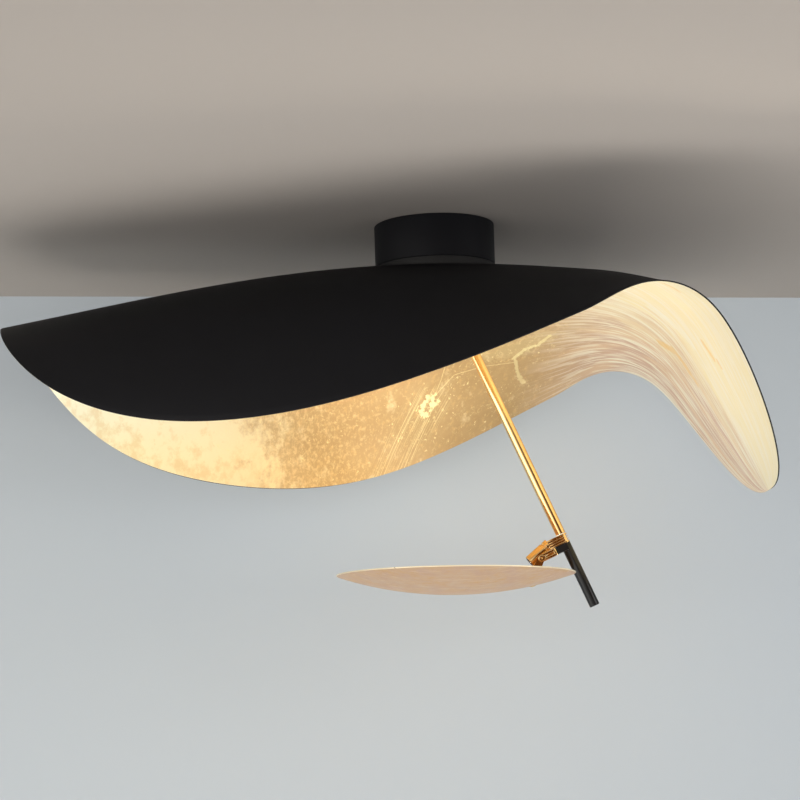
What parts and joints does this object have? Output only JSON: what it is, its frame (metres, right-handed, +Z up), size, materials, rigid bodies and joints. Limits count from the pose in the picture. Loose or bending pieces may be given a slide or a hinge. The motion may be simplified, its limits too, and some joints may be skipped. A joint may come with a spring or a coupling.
{
  "type": "sculptural ceiling light",
  "caption": "Ceiling light: a round canopy carries a large bent sheet shade, black above and gold leaf below, with a leaning rod, a small lamp head and a dish that throws the light back up.",
  "frame": {"origin": "middle of the canopy on the ceiling, which is the middle of the two slotted holes in the ceiling bracket", "axes": "+Z up into the ceiling, +X along the shade towards its downturned lobe, -Y towards the side whose rim hangs lower at the front"},
  "size_m": [0.8153, 0.6046, 0.4178],
  "materials": {
    "sheet_black": "matte black paint on bent sheet steel",
    "gold_leaf": "hand-laid gold leaf under clear lacquer, mottled and flaked",
    "dish_leaf": "gold leaf over spun aluminium, pinkish and dull below",
    "polished_gilt": "polished and lacquered brass",
    "grip_black": "satin black anodised",
    "zinc_steel": "zinc plated",
    "plain_brass": "turned, unpolished",
    "black_rubber": "moulded, dull",
    "lead_sheath": "black sheathed two-core lead",
    "wire_brown": "brown insulated wire",
    "wire_green": "green and yellow insulated wire",
    "white_plastic": "white moulded housing",
    "slide_plastic": "natural low-friction plastic",
    "led_ceramic": "white board with four diodes",
    "lens_glass": "clear, frosted at the back"
  },
  "bodies": {
    "fixture": {"ceiling_bracket": "zinc_steel", "earth_screw": "plain_brass", "canopy": "sheet_black", "canopy_screws": "zinc_steel", "led_driver": "white_plastic", "terminal_block": "white_plastic", "load_washer": "zinc_steel", "nipple_nut": "zinc_steel", "nipple": "plain_brass", "saddle_pad": "black_rubber", "shade": "sheet_black", "shade_gilding": "gold_leaf", "hub_ring": "black_rubber", "hub": "polished_gilt", "hub_screw": "zinc_steel", "rod": "polished_gilt", "swivel_screw": "zinc_steel", "supply_lead": "lead_sheath", "driver_leads": "wire_brown", "earth_lead": "wire_green"},
    "lamp_head": {"friction_washer": "slide_plastic", "grip": "grip_black", "fin_block": "polished_gilt", "lamp_barrel": "polished_gilt", "lamp_lead": "lead_sheath", "led_board": "led_ceramic", "lens": "lens_glass", "lens_ring": "grip_black", "fork": "polished_gilt", "fork_screw": "polished_gilt", "pivot_screws": "polished_gilt"},
    "tilt_stirrup": {"stirrup": "polished_gilt"},
    "dish_group": {"dish": "dish_leaf", "dish_boss": "polished_gilt", "dish_screw": "polished_gilt", "wave_washer": "zinc_steel", "stud_nut": "polished_gilt"}
  },
  "joints": [
    {"name": "head_swivel", "type": "hinge", "parent": "fixture", "child": "lamp_head", "pos_m": [0.1237, 0, -0.33861], "axis": [0.3939, 0, -0.9191], "range_deg": [-80, 80]},
    {"name": "dish_tilt", "type": "hinge", "parent": "lamp_head", "child": "tilt_stirrup", "pos_m": [0.10078, -0.0017, -0.36497], "axis": [-0.0497, 0.9985, -0.0213], "range_deg": [-5, 25]},
    {"name": "dish_swing", "type": "hinge", "parent": "tilt_stirrup", "child": "dish_group", "pos_m": [0.09135, -0.0026, -0.3848], "axis": [0.0169, 0.0222, 0.9996], "range_deg": [-52, 14]}
  ]
}
